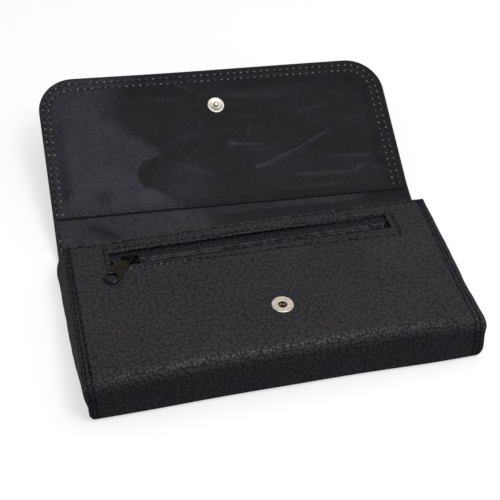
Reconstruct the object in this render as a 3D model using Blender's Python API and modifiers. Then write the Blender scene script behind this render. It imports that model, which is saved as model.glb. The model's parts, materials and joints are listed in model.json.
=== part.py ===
"""A clutch wallet lying on its back with the flap open.

Leather cover, satin lining, zip pocket and press stud.

Metres, +Z up. X runs along the wallet's width, +Y from the near face to the flap.
The origin is the middle of the back, on the surface that the wallet lies on.
"""

import math

import bmesh
import bpy
from mathutils import Matrix, Vector

# Cover: the body's width, its depth from the near face to the edge that opens, and its leather.
WIDTH = 0.190
DEPTH = 0.088
LEATHER = 0.0014
RIDGE_RADIUS = 0.006
FOOT_RADIUS = 0.0025
FAR_HEIGHT = 0.0191
NEAR_HEIGHT = 0.0233

# How far the stuffed front stands above its straight sides.
FAR_PUFF = 0.0010
NEAR_PUFF = 0.0044
MIDDLE_PUFF = 0.0004
PUFF_POWER = 3.5

# Clearance between pieces that touch, thickness of satin and of board, overrun of a cutter.
GAP = 0.0003
SATIN = 0.0003
BOARD = 0.0008
OVERRUN = 0.002

# Side walls, boards and lining inside the body.
WALL = 0.0012
WALL_INSET = 0.0004
BOARD_SIDE = 0.006
BOARD_CORNER = 0.003
BASE_BOARD_LOW = 0.005
BASE_BOARD_HEIGHT = 0.012
BACK_BOARD_NEAR = 0.006
BACK_BOARD_FAR = 0.003
LINING_SIDE = 0.0025
LINING_NEAR = 0.0035
LINING_FAR = 0.0008

# Card leaf with three stepped rows of card slots.
LEAF_SIDE = 0.005
LEAF_NEAR = 0.0055
LEAF_FAR = 0.0032
SLOT_ROWS = 3
SLOT_SIDE = 0.002
SLOT_STEP = 0.0115
SLOT_SEAM = 0.0006
SLOT_SEAM_FROM_FAR = 0.004

# Zip: window in the front, tapes, chain, slider and tab.
ZIP_FROM_FAR = 0.0147
WINDOW_LEFT_MARGIN = 0.0215
WINDOW_RIGHT_MARGIN = 0.0245
WINDOW_BELOW = 0.0037
WINDOW_ABOVE = 0.0063
WINDOW_CORNER = 0.0008
ZIP_TILT = math.radians(-4.3)
TAPE = 0.0005
TAPE_WIDTH = 0.008
TAPE_OVER_END = 0.0045
TAPE_INNER = 0.0020
COIL_INNER = 0.0005
COIL_OUTER = 0.00175
COIL_HEIGHT = 0.0015
CHAIN_LEFT_MARGIN = 0.0033
CHAIN_RIGHT_MARGIN = 0.0026
STOP_LENGTH = 0.0015
SLIDER_FROM_LEFT = 0.0107
SLIDER_LENGTH = 0.0095
SLIDER_HALF = 0.0034
SLIDER_PLATE = 0.0008
SLIDER_LIP = 0.0007
SLIDER_NECK = 0.0004
SLIDER_NOSE = 0.0022
RUN_CLEARANCE = 0.00028
CROWN_WIDTH = 0.0009
CROWN_LEG = 0.0009
CROWN_BAR = 0.0005
CROWN_SPAN = 0.0064
TAB = 0.0007
TAB_RISE = 0.0013
TAB_UNDER_BAR = 0.00042
TAB_SLOPE = math.radians(2.2)
TAB_TURN = math.radians(36.0)
TAB_FROM_LEG = 0.0022
TAB_OFFSET = 0.0004
TAB_HEAD = 0.0027
TAB_ARM = 0.0006
TAB_ROD = 0.0005
TAB_EYE = 0.0028
TAB_REACH = 0.0154
TAB_END = 0.0039
TAB_HOLE = 0.0028

# Zip pocket: a satin sheet that hangs under the front.
POCKET_SIDE = 0.009
POCKET_FROM_NEAR = 0.0135
POCKET_FROM_FAR = 0.002
POCKET_DEPTH = 0.0052
POCKET_SEAM = 0.008

# Flap and spine: angle at rest, lengths, folds and corners.
REST_ANGLE = math.radians(20.4)
FOLD_PAST_EDGE = 0.0011
FLAP = 0.0820
FOLD_HALF = 0.0008
FLAP_LEATHER = 0.0013
FLAP_CORNER = 0.0195
SPINE_CORNER = 0.0015
FLAP_LINING_INSET = 0.0016
POCKET_HEM = 0.0014
STRIP_RADIUS = 0.00065

# Press stud: the socket on the front and the stud on the flap, which meet when the flap is shut.
SOCKET_FROM_NEAR = 0.0283
SOCKET_TILT = math.radians(-4.6)
STUD_PLAY = 0.0007
SOCKET_RADIUS = 0.0053
SOCKET_FLANGE = 0.0006
SOCKET_BORE = 0.0026
SOCKET_BARREL = 0.0031
SOCKET_BARREL_LENGTH = 0.0030
WASHER_RADIUS = 0.0050
WASHER = 0.0007
STUD_RADIUS = 0.0048
STUD_FLANGE = 0.0005
STUD_RIM = 0.0008
STUD_DISH = 0.0002
STUD_NECK = 0.0015
STUD_BALL = 0.00175
STUD_HEIGHT = 0.0020
STUD_STEM = 0.0012
CAP_RADIUS = 0.0055
CAP_RIM = 0.0005
CAP_HEIGHT = 0.0011

# Smoothness: faces across the cover, along its profile, round a bend and round a turned piece.
COLUMNS = 22
FRONT_ROWS = 10
BACK_ROWS = 3
FACE_ROWS = 3
RIDGE_ROWS = 4
TURN_ROWS = 2
ARC_STEPS = 7
TURN_STEPS = 28

# Places worked out from the sizes above.
HALF = WIDTH / 2
FAR_Y = DEPTH / 2
NEAR_Y = -DEPTH / 2
RIDGE_Y = NEAR_Y + RIDGE_RADIUS
FOLD_Y = FAR_Y + FOLD_PAST_EDGE
FOLD_Z = LEATHER
SATIN_LOW = GAP
SATIN_TOP = SATIN_LOW + SATIN
POCKET_SHEET_LOW = SATIN_TOP + GAP
POCKET_SHEET_TOP = POCKET_SHEET_LOW + SATIN
BACK_BOARD_LOW = LEATHER + GAP
BACK_SATIN_LOW = BACK_BOARD_LOW + BOARD + GAP
LEAF_LOW = BACK_SATIN_LOW + SATIN + GAP
ZIP_Y = FAR_Y - ZIP_FROM_FAR
WINDOW_LEFT = WINDOW_LEFT_MARGIN - HALF
WINDOW_RIGHT = HALF - WINDOW_RIGHT_MARGIN
CHAIN_LEFT = WINDOW_LEFT + CHAIN_LEFT_MARGIN
CHAIN_RIGHT = WINDOW_RIGHT - CHAIN_RIGHT_MARGIN
SLIDER_X = WINDOW_LEFT + SLIDER_FROM_LEFT
SLIDER_LOW = (COIL_HEIGHT - TAPE) / 2 + RUN_CLEARANCE
SLIDER_TOP = SLIDER_LOW + SLIDER_PLATE
CROWN_TOP = SLIDER_TOP + TAB_RISE + TAB + TAB_UNDER_BAR + CROWN_BAR
POCKET_NEAR = NEAR_Y + POCKET_FROM_NEAR
POCKET_FAR = FAR_Y - POCKET_FROM_FAR
SOCKET_Y = NEAR_Y + SOCKET_FROM_NEAR


def front_height(x, y):
    """Height of the outside of the front: straight along its two sides, puffed up between them."""
    share = (FAR_Y - y) / (FAR_Y - RIDGE_Y)
    swell = max(0.0, 1 - abs(x / HALF) ** PUFF_POWER)
    bow = MIDDLE_PUFF * math.sin(math.pi * min(max(share, 0.0), 1.0))
    puff = FAR_PUFF + (NEAR_PUFF - FAR_PUFF) * share + bow
    return FAR_HEIGHT + (NEAR_HEIGHT - FAR_HEIGHT) * share + puff * swell


def zip_height():
    """Height of the tapes' upper side at the zip's middle: as high as the leather over them lets it be."""
    reach = TAPE_INNER + TAPE_WIDTH
    ends = (CHAIN_LEFT - TAPE_OVER_END, CHAIN_RIGHT + TAPE_OVER_END)
    return min(front_height(x, ZIP_Y + along) - along * math.tan(ZIP_TILT)
               for x in ends for along in (-reach, reach)) - LEATHER - GAP


def shut_flap():
    """Slope of the shut flap, which clears the crown and the socket, and the height of the upper fold."""
    over_crown = zip_height() + CROWN_TOP + GAP
    over_socket = front_height(0, SOCKET_Y) + SOCKET_FLANGE + STUD_FLANGE + 3 * GAP
    slope = math.atan((over_socket - over_crown) / (ZIP_Y - SOCKET_Y))
    fold = over_crown - (FOLD_Y - ZIP_Y) * math.tan(slope) + POCKET_SHEET_TOP / math.cos(slope)
    return slope, fold


SHUT_SLOPE, SHUT_FOLD = shut_flap()
SPINE = SHUT_FOLD - FOLD_Z


def arc(centre, radius, start, end, steps=ARC_STEPS):
    """Points on an arc, from one angle in degrees to another."""
    angles = [math.radians(start + (end - start) * i / steps) for i in range(steps + 1)]
    return [(centre[0] + radius * math.cos(a), centre[1] + radius * math.sin(a)) for a in angles]


def between(first, last, rows):
    """Inner points of a straight run, without its two ends."""
    return [first + (last - first) * i / rows for i in range(1, rows)]


def cover_profile(x, inset=0.0):
    """The cover's section at one place of its width, from the back's far edge round to the front's."""
    height = front_height(x, RIDGE_Y)
    foot = arc((NEAR_Y + FOOT_RADIUS, FOOT_RADIUS), FOOT_RADIUS - inset, 270, 180, TURN_ROWS)
    ridge = arc((RIDGE_Y, height - RIDGE_RADIUS), RIDGE_RADIUS - inset, 180, 90, RIDGE_ROWS)
    points = [(FAR_Y, inset)]
    points += [(y, inset) for y in between(FAR_Y, foot[0][0], BACK_ROWS)]
    points += foot
    points += [(NEAR_Y + inset, z) for z in between(foot[-1][1], ridge[0][1], FACE_ROWS)]
    points += ridge
    points += [(y, front_height(x, y) - inset) for y in between(RIDGE_Y, FAR_Y, FRONT_ROWS)]
    points.append((FAR_Y, front_height(x, FAR_Y) - inset))
    return points


def finish(name, colour, roughness, metallic=0.0):
    """One Principled material."""
    material = bpy.data.materials.new(name)
    material.use_nodes = True
    shader = material.node_tree.nodes["Principled BSDF"]
    shader.inputs["Base Color"].default_value = (*colour, 1.0)
    shader.inputs["Roughness"].default_value = roughness
    shader.inputs["Metallic"].default_value = metallic
    return material


BLACK_LEATHER = (0.020, 0.019, 0.021)
BLACK_SATIN = (0.028, 0.026, 0.034)
BLACK_NYLON = (0.012, 0.012, 0.014)
GREY_BOARD = (0.16, 0.15, 0.14)
NICKEL = (0.72, 0.69, 0.63)
GUNMETAL = (0.10, 0.10, 0.10)


def leather(name):
    return finish(name, BLACK_LEATHER, 0.55)


def satin(name):
    return finish(name, BLACK_SATIN, 0.38)


def nylon(name):
    return finish(name, BLACK_NYLON, 0.60)


def board(name):
    return finish(name, GREY_BOARD, 0.90)


def nickel(name):
    return finish(name, NICKEL, 0.25, 1.0)


def gunmetal(name):
    return finish(name, GUNMETAL, 0.30, 0.9)


def keep(obj, name, material, parent=None, location=(0, 0, 0), rotation=(0, 0, 0), collection=None):
    """Names an object, gives it its material and place, and puts it in its collection."""
    obj.name = name
    obj.data.name = name
    obj.data.materials.clear()
    if material:
        obj.data.materials.append(material)
    for old in list(obj.users_collection):
        old.objects.unlink(obj)
    (collection or PARTS).objects.link(obj)
    obj.parent = parent
    obj.location = location
    obj.rotation_euler = rotation
    return obj


def axis_empty(name, location, rotation=(0, 0, 0), parent=None):
    """An empty on a joint's axis."""
    empty = bpy.data.objects.new(name, None)
    empty.empty_display_size = FLAP_CORNER
    PARTS.objects.link(empty)
    empty.parent = parent
    empty.location = location
    empty.rotation_euler = rotation
    return empty


def flat_piece(name, outlines, low, thickness, material, parent=None, location=(0, 0, 0),
               rotation=(0, 0, 0), collection=None):
    """A flat piece from closed outlines, an inner one being a hole, with its underside at a height."""
    curve = bpy.data.curves.new(name, "CURVE")
    curve.dimensions = "2D"
    curve.fill_mode = "BOTH"
    curve.extrude = thickness / 2
    for outline in outlines:
        spline = curve.splines.new("POLY")
        spline.points.add(len(outline) - 1)
        for point, (x, y) in zip(spline.points, outline):
            point.co = (x, y, 0, 1)
        spline.use_cyclic_u = True
    obj = bpy.data.objects.new(name, curve)
    bpy.context.scene.collection.objects.link(obj)
    turn = Matrix.Rotation(rotation[2], 4, "Z") @ Matrix.Rotation(rotation[1], 4, "Y")
    turn = turn @ Matrix.Rotation(rotation[0], 4, "X")
    place = Vector(location) + turn @ Vector((0, 0, low + thickness / 2))
    return keep(obj, name, material, parent, place, rotation, collection)


def solid_of(obj):
    """Makes a mesh of a curve object, with its caps welded, so that it can be cut or joined."""
    bpy.context.view_layer.update()
    graph = bpy.context.evaluated_depsgraph_get()
    mesh = bpy.data.meshes.new_from_object(obj.evaluated_get(graph))
    body = bmesh.new()
    body.from_mesh(mesh)
    bmesh.ops.remove_doubles(body, verts=body.verts, dist=GAP / 30)
    bmesh.ops.recalc_face_normals(body, faces=body.faces)
    body.to_mesh(mesh)
    body.free()
    new = bpy.data.objects.new(obj.name, mesh)
    new.matrix_world = obj.matrix_world
    obj.users_collection[0].objects.link(new)
    for material in obj.data.materials:
        mesh.materials.append(material)
    name = obj.name
    bpy.data.objects.remove(obj)
    new.name = name
    return new


def cut(obj, cutter, operation="DIFFERENCE"):
    """Cuts one object with another, which stays as a hidden wire."""
    cutter.hide_render = True
    cutter.display_type = "WIRE"
    modifier = obj.modifiers.new(f"{operation.lower()}_{cutter.name}", "BOOLEAN")
    modifier.operation = operation
    modifier.solver = "EXACT"
    modifier.object = cutter


def rounded_rectangle(left, right, low, high, radius):
    """Outline of a rectangle with round corners."""
    points = arc((right - radius, high - radius), radius, 0, 90)
    points += arc((left + radius, high - radius), radius, 90, 180)
    points += arc((left + radius, low + radius), radius, 180, 270)
    points += arc((right - radius, low + radius), radius, 270, 360)
    return points


def circle(centre, radius, steps=TURN_STEPS):
    return arc(centre, radius, 0, 360 - 360 / steps, steps - 1)


def sheet(name, left, right, near, far, top, thickness, columns, rows, material):
    """A soft sheet that follows a height, which is that of its upper side."""
    bpy.ops.mesh.primitive_grid_add(x_subdivisions=columns, y_subdivisions=rows, size=2)
    obj = bpy.context.object
    for vertex in obj.data.vertices:
        x = left + (right - left) * (vertex.co.x + 1) / 2
        y = near + (far - near) * (vertex.co.y + 1) / 2
        vertex.co = (x, y, top(x, y))
    thicken = obj.modifiers.new("thickness", "SOLIDIFY")
    thicken.thickness = thickness
    thicken.offset = -1
    return keep(obj, name, material)


def turned(name, profile, material, parent=None, location=(0, 0, 0), rotation=(0, 0, 0),
           collection=None):
    """A turned piece: a closed profile, (radius, height), that runs down its outer side, spun round Z."""
    mesh = bpy.data.meshes.new(name)
    count = len(profile)
    closed = profile[0][0] > 0
    edges = [(i, i + 1) for i in range(count - 1)]
    if closed:
        edges.append((count - 1, 0))
    mesh.from_pydata([(r, 0, z) for r, z in profile], edges, [])
    obj = bpy.data.objects.new(name, mesh)
    bpy.context.scene.collection.objects.link(obj)
    screw = obj.modifiers.new("turn", "SCREW")
    screw.axis = "Z"
    screw.angle = math.tau
    screw.steps = TURN_STEPS
    screw.render_steps = TURN_STEPS
    screw.use_merge_vertices = True
    screw.merge_threshold = GAP / 30
    screw.use_normal_calculate = False
    return keep(obj, name, material, parent, location, rotation, collection)


def smooth(obj, degrees):
    """Shades a mesh smooth, apart from edges sharper than an angle."""
    obj.data.shade_smooth()
    obj.data.set_sharp_from_angle(angle=math.radians(degrees))


def make_cover():
    """The leather of the body in one piece: back, near face and front, with the zip window."""
    rows = len(cover_profile(0.0)) - 1
    bpy.ops.mesh.primitive_grid_add(x_subdivisions=COLUMNS, y_subdivisions=rows, size=2)
    obj = bpy.context.object
    for vertex in obj.data.vertices:
        x = HALF * math.sin(vertex.co.x * math.pi / 2)
        y, z = cover_profile(x)[round((vertex.co.y + 1) / 2 * rows)]
        vertex.co = (x, y, z)
    thicken = obj.modifiers.new("leather", "SOLIDIFY")
    thicken.thickness = LEATHER
    thicken.offset = -1
    thicken.use_even_offset = True
    keep(obj, "cover_leather", leather("cover_leather"))
    low = FAR_HEIGHT - LEATHER - OVERRUN
    high = NEAR_HEIGHT + NEAR_PUFF + OVERRUN
    outline = rounded_rectangle(WINDOW_LEFT, WINDOW_RIGHT, ZIP_Y - WINDOW_BELOW, ZIP_Y + WINDOW_ABOVE,
                                WINDOW_CORNER)
    window = solid_of(flat_piece("window_cutter", [outline], low, high - low, None, collection=CUTTERS))
    cut(obj, window)
    place, turn = socket_place()
    length = 2 * (SOCKET_BARREL_LENGTH + OVERRUN)
    outline = circle((0, 0), SOCKET_BARREL + GAP)
    hole = solid_of(flat_piece("socket_hole_cutter", [outline], -length / 2, length, None, location=place,
                               rotation=turn, collection=CUTTERS))
    cut(obj, hole)


def make_side_walls():
    """The strips that close the two sides, between the front and the back."""
    inset = LEATHER + GAP
    outline = cover_profile(HALF, inset)
    outline = [(min(y, FAR_Y - GAP), z) for y, z in outline]
    for side, name in ((-1, "left_side_wall"), (1, "right_side_wall")):
        x = side * (HALF - WALL_INSET - WALL / 2)
        flat_piece(name, [outline], -WALL / 2, WALL, leather(name), location=(x, 0, 0),
                   rotation=(math.pi / 2, 0, math.pi / 2))


def make_boards():
    """Stiffeners: one behind the near face, one on the back."""
    outline = rounded_rectangle(-HALF + BOARD_SIDE, HALF - BOARD_SIDE, BASE_BOARD_LOW,
                                BASE_BOARD_LOW + BASE_BOARD_HEIGHT, BOARD_CORNER)
    flat_piece("base_board", [outline], 0, BOARD, board("base_board"),
               location=(0, NEAR_Y + LEATHER + GAP + BOARD, 0), rotation=(math.pi / 2, 0, 0))
    outline = rounded_rectangle(-HALF + BOARD_SIDE, HALF - BOARD_SIDE, NEAR_Y + BACK_BOARD_NEAR,
                                FAR_Y - BACK_BOARD_FAR, BOARD_CORNER)
    flat_piece("back_board", [outline], BACK_BOARD_LOW, BOARD, board("back_board"))
    outline = rounded_rectangle(-HALF + LINING_SIDE, HALF - LINING_SIDE, NEAR_Y + LINING_NEAR,
                                FAR_Y - LINING_FAR, LINING_FAR)
    flat_piece("back_lining", [outline], BACK_SATIN_LOW, SATIN, satin("back_lining"))


def make_leaf():
    """The card leaf, sewn in along the near edge, with stepped rows of card slots on its upper side."""
    near = NEAR_Y + LEAF_NEAR
    far = FAR_Y - LEAF_FAR
    side = HALF - LEAF_SIDE
    axis = axis_empty("leaf_axis", (0, near, LEAF_LOW))
    outline = rounded_rectangle(-side, side, 0, far - near, BOARD_CORNER)
    flat_piece("card_leaf", [outline], 0, BOARD, satin("card_leaf"), axis)
    low = BOARD + GAP
    for row in range(SLOT_ROWS):
        edge = far - near - SLOT_STEP * (row + 0.5)
        right = side - SLOT_SIDE
        seam = edge - SLOT_SEAM_FROM_FAR
        outline = [(-right, SLOT_SIDE), (right, SLOT_SIDE), (right, edge), (SLOT_SEAM, edge),
                   (SLOT_SEAM, seam), (-SLOT_SEAM, seam), (-SLOT_SEAM, edge), (-right, edge)]
        name = f"card_slot_row_{row + 1}"
        flat_piece(name, [outline], low, SATIN, leather(name), axis)
        low += SATIN + GAP


def pocket_height(x, y):
    """Upper side of the zip pocket's sheet: close under the front at its seams, hanging between them."""
    across = min(x + HALF - POCKET_SIDE, HALF - POCKET_SIDE - x) / POCKET_SEAM
    along = min(y - POCKET_NEAR, POCKET_FAR - y) / POCKET_SEAM
    share = min(max(min(across, along), 0.0), 1.0)
    hang = POCKET_DEPTH * share * share * (3 - 2 * share)
    return front_height(x, y) - LEATHER - GAP - GAP - hang


def make_zip_pocket():
    side = HALF - POCKET_SIDE
    sheet("zip_pocket_lining", -side, side, POCKET_NEAR, POCKET_FAR, pocket_height, SATIN, 24, 16,
          satin("zip_pocket_lining"))


def make_zip(frame):
    """Tapes, coils and end stops, in the zip's own tilted frame, where the tapes' upper side is at 0."""
    left = CHAIN_LEFT - TAPE_OVER_END
    right = CHAIN_RIGHT + TAPE_OVER_END
    for side, name in ((1, "upper"), (-1, "lower")):
        inner = side * TAPE_INNER
        outer = side * (TAPE_INNER + TAPE_WIDTH)
        outline = [(left, inner), (right, inner), (right, outer), (left, outer)]
        flat_piece(f"zip_tape_{name}", [outline], -TAPE, TAPE, nylon(f"zip_tape_{name}"), frame)
        middle = side * (COIL_INNER + COIL_OUTER) / 2
        half = (COIL_OUTER - COIL_INNER) / 2
        section = arc((0, 0), half, 0, 180) + arc((0, 2 * half - COIL_HEIGHT), half, 180, 360)
        coil = flat_piece(f"zip_coil_{name}", [section], 0, CHAIN_RIGHT - CHAIN_LEFT,
                          nylon(f"zip_coil_{name}"), frame, rotation=(math.pi / 2, 0, math.pi / 2))
        coil.location = ((CHAIN_LEFT + CHAIN_RIGHT) / 2, middle, (COIL_HEIGHT - TAPE) / 2 - half)
    stops = ((CHAIN_LEFT - GAP - STOP_LENGTH, "zip_stop_left"), (CHAIN_RIGHT + GAP, "zip_stop_right"))
    for start, name in stops:
        end = start + STOP_LENGTH
        outline = [(start, -COIL_OUTER), (end, -COIL_OUTER), (end, COIL_OUTER), (start, COIL_OUTER)]
        flat_piece(name, [outline], -(COIL_HEIGHT + TAPE) / 2, COIL_HEIGHT, gunmetal(name), frame)


def slider_levels():
    """Heights of the slider's four faces above the tapes' upper side, and of its two lips."""
    bottom_top = -(COIL_HEIGHT + TAPE) / 2 - RUN_CLEARANCE
    return SLIDER_LOW, SLIDER_TOP, bottom_top, bottom_top - SLIDER_PLATE


def make_slider(frame):
    """The slider: two plates joined by a neck between the coils, lips over the tapes, and the crown."""
    top_low, top, bottom_top, bottom = slider_levels()
    lip_top = RUN_CLEARANCE
    lip_low = -TAPE - RUN_CLEARANCE
    inner = SLIDER_HALF - SLIDER_LIP
    neck = SLIDER_NECK / 2
    half_section = [(SLIDER_HALF, bottom), (SLIDER_HALF, lip_low), (inner, lip_low), (inner, bottom_top),
                    (neck, bottom_top), (neck, top_low), (inner, top_low), (inner, lip_top),
                    (SLIDER_HALF, lip_top), (SLIDER_HALF, top)]
    section = half_section + [(-y, z) for y, z in reversed(half_section)]
    axis = axis_empty("slider_axis", (SLIDER_X, 0, 0), parent=frame)
    length = SLIDER_LENGTH
    body = flat_piece("zip_slider", [section], -length / 2, length, gunmetal("zip_slider"), axis,
                      rotation=(math.pi / 2, 0, math.pi / 2))
    body = solid_of(body)
    nose = SLIDER_NOSE
    plan = [(-length / 2, -SLIDER_HALF + nose), (-length / 2 + nose, -SLIDER_HALF)]
    plan += arc((length / 2 - nose, -SLIDER_HALF + nose), nose, 270, 360)
    plan += arc((length / 2 - nose, SLIDER_HALF - nose), nose, 0, 90)
    plan += [(-length / 2 + nose, SLIDER_HALF), (-length / 2, SLIDER_HALF - nose)]
    low = bottom - OVERRUN
    high = top + OVERRUN
    trim = flat_piece("slider_plan_cutter", [plan], low, high - low, None, axis, collection=CUTTERS)
    cut(body, solid_of(trim), "INTERSECT")
    outer = CROWN_SPAN / 2 + CROWN_LEG / 2
    inside = CROWN_SPAN / 2 - CROWN_LEG / 2
    foot = top - SLIDER_PLATE / 2
    bar = CROWN_TOP
    under = bar - CROWN_BAR
    bridge = [(-outer, foot), (-inside, foot), (-inside, under), (inside, under), (inside, foot),
              (outer, foot), (outer, bar - CROWN_BAR / 2), (outer - CROWN_BAR / 2, bar),
              (-outer + CROWN_BAR / 2, bar), (-outer, bar - CROWN_BAR / 2)]
    crown = flat_piece("crown_shape", [bridge], -CROWN_WIDTH / 2, CROWN_WIDTH, None, axis,
                       rotation=(math.pi / 2, 0, 0), collection=CUTTERS)
    cut(body, solid_of(crown), "UNION")
    return axis


def make_tab(axis):
    """The pull tab: its eye goes round the crown's left leg, and its rod turns under the bar."""
    middle = SLIDER_TOP + TAB_RISE + TAB / 2
    pivot = axis_empty("pull_axis", (TAB_FROM_LEG - CROWN_SPAN / 2, 0, middle), (0, 0, -TAB_TURN), axis)
    left = -TAB_OFFSET - TAB_HEAD
    right = -TAB_OFFSET + TAB_HEAD
    end = (-TAB_OFFSET, -TAB_REACH)
    corner = TAB_ARM
    outline = arc((right - corner, TAB_ROD - corner), corner, 0, 90)
    outline += arc((left + corner, TAB_ROD - corner), corner, 90, 180)
    outline += arc(end, TAB_END, 180, 360, 2 * ARC_STEPS)
    eye = rounded_rectangle(left + TAB_ARM, right - TAB_ARM, -TAB_EYE, -TAB_ROD, TAB_ARM / 2)
    flat_piece("pull_tab", [outline, eye, circle(end, TAB_HOLE)], -TAB / 2, TAB, gunmetal("pull_tab"),
               pivot, rotation=(-TAB_SLOPE, 0, 0))


def socket_place():
    """Centre of the socket on the front's outside, and its tilt."""
    return (0, SOCKET_Y, front_height(0, SOCKET_Y)), (SOCKET_TILT, 0, 0)


def make_socket():
    """The female half of the press stud, its barrel through the leather, and the washer behind it."""
    place, turn = socket_place()
    top = GAP + SOCKET_FLANGE
    rim = SOCKET_FLANGE / 2
    profile = [(SOCKET_BORE, top), (SOCKET_RADIUS - rim, top), (SOCKET_RADIUS, top - rim),
               (SOCKET_RADIUS, GAP), (SOCKET_BARREL, GAP), (SOCKET_BARREL, top - SOCKET_BARREL_LENGTH),
               (SOCKET_BORE, top - SOCKET_BARREL_LENGTH)]
    smooth(turned("snap_socket", profile, nickel("snap_socket"), None, place, turn), 40)
    high = -LEATHER - 2 * GAP
    inner = SOCKET_BARREL + GAP
    profile = [(inner, high), (WASHER_RADIUS, high), (WASHER_RADIUS, high - WASHER), (inner, high - WASHER)]
    turned("snap_socket_back", profile, nickel("snap_socket_back"), None, place, turn)


def flap_outline(inset, start):
    """The flap's outline from a distance past its fold, with its two round corners."""
    side = HALF - inset
    far = FLAP - inset
    radius = FLAP_CORNER - inset
    points = [(-side, start), (side, start)]
    points += arc((side - radius, far - radius), radius, 0, 90)
    points += arc((-side + radius, far - radius), radius, 90, 180)
    return points


def stud_along_flap():
    """How far from the flap's fold the stud sits, so that it meets the socket when the flap is shut."""
    rise = front_height(0, SOCKET_Y) + GAP + SOCKET_FLANGE - SHUT_FOLD
    return (FOLD_Y - SOCKET_Y) * math.cos(SHUT_SLOPE) + rise * math.sin(SHUT_SLOPE) - STUD_PLAY


def make_spine(axis):
    """The spine: the strip of cover and lining between the two folds."""
    ends = (FOLD_HALF, SPINE - FOLD_HALF)
    outline = rounded_rectangle(-HALF, HALF, *ends, SPINE_CORNER)
    flat_piece("spine_leather", [outline], -FLAP_LEATHER, FLAP_LEATHER, leather("spine_leather"), axis)
    side = HALF - FLAP_LINING_INSET
    outline = rounded_rectangle(-side, side, *ends, SPINE_CORNER)
    flat_piece("spine_lining", [outline], SATIN_LOW, SATIN, satin("spine_lining"), axis)


def make_strips(spine):
    """The leather at the two folds, as a round bead along each fold."""
    side = HALF - SPINE_CORNER
    bead = [circle((0, 0), STRIP_RADIUS, 16)]
    turn = (math.pi / 2, 0, math.pi / 2)
    flat_piece("spine_fold_strip", bead, -side, 2 * side, leather("spine_fold_strip"),
               location=(0, FOLD_Y, FOLD_Z), rotation=turn)
    flat_piece("flap_fold_strip", bead, -side, 2 * side, leather("flap_fold_strip"), spine,
               (0, SPINE, 0), turn)


def make_flap(axis):
    """The flap: leather, satin lining and the full-width slip pocket whose hem faces the fold."""
    stud = (0, stud_along_flap())
    hole = circle(stud, STUD_STEM + GAP, 16)
    flat_piece("flap_leather", [flap_outline(0, FOLD_HALF), hole], -FLAP_LEATHER, FLAP_LEATHER,
               leather("flap_leather"), axis)
    flat_piece("flap_lining", [flap_outline(FLAP_LINING_INSET, FOLD_HALF), hole], SATIN_LOW, SATIN,
               satin("flap_lining"), axis)
    flat_piece("flap_pocket", [flap_outline(FLAP_LINING_INSET, POCKET_HEM), hole], POCKET_SHEET_LOW,
               SATIN, satin("flap_pocket"), axis)


def make_stud(axis):
    """The male half of the press stud on the lining, and its cap on the leather."""
    low = POCKET_SHEET_TOP + GAP
    face = low + STUD_FLANGE
    tip = face + STUD_HEIGHT
    stem_end = -FLAP_LEATHER
    bulge = tip - STUD_BALL
    rim = STUD_RADIUS - STUD_RIM
    profile = [(0, tip), (STUD_BALL * 0.6, tip - STUD_BALL * 0.2), (STUD_BALL, bulge + STUD_BALL * 0.25),
               (STUD_BALL, bulge), (STUD_NECK, face - STUD_DISH), (rim, face - STUD_DISH), (rim, face),
               (STUD_RADIUS, face), (STUD_RADIUS, low), (STUD_STEM, low), (STUD_STEM, stem_end),
               (0, stem_end)]
    place = (0, stud_along_flap(), 0)
    smooth(turned("snap_stud", profile, nickel("snap_stud"), axis, place), 40)
    top = stem_end - GAP
    profile = [(0, top), (CAP_RADIUS - CAP_RIM, top), (CAP_RADIUS, top - CAP_RIM),
               (CAP_RADIUS * 0.75, top - CAP_HEIGHT * 0.85), (0, top - CAP_HEIGHT)]
    smooth(turned("snap_cap", profile, nickel("snap_cap"), axis, place), 50)


def clear_scene():
    for obj in list(bpy.data.objects):
        bpy.data.objects.remove(obj, do_unlink=True)


def new_collection(name):
    collection = bpy.data.collections.new(name)
    bpy.context.scene.collection.children.link(collection)
    return collection


clear_scene()
PARTS = new_collection("wallet")
CUTTERS = new_collection("cutters")

make_cover()
make_side_walls()
make_boards()
make_leaf()
make_zip_pocket()
make_socket()

zip_frame = axis_empty("zip_frame", (0, ZIP_Y, zip_height()), (ZIP_TILT, 0, 0))
make_zip(zip_frame)
slider_axis = make_slider(zip_frame)
make_tab(slider_axis)

spine_axis = axis_empty("spine_fold_axis", (0, FOLD_Y, FOLD_Z), (REST_ANGLE, 0, 0))
flap_axis = axis_empty("flap_fold_axis", (0, SPINE, 0), parent=spine_axis)
make_spine(spine_axis)
make_strips(spine_axis)
make_flap(flap_axis)
make_stud(flap_axis)
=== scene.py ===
"""A black clutch wallet that lies open on its back.

Leather, satin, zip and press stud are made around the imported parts. Shapes are worked out in millimetres,
in the frame of the parts, and set down in metres.
"""

import json
import math

import bmesh
import bpy
import numpy as np
from mathutils import Matrix, Vector


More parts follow.
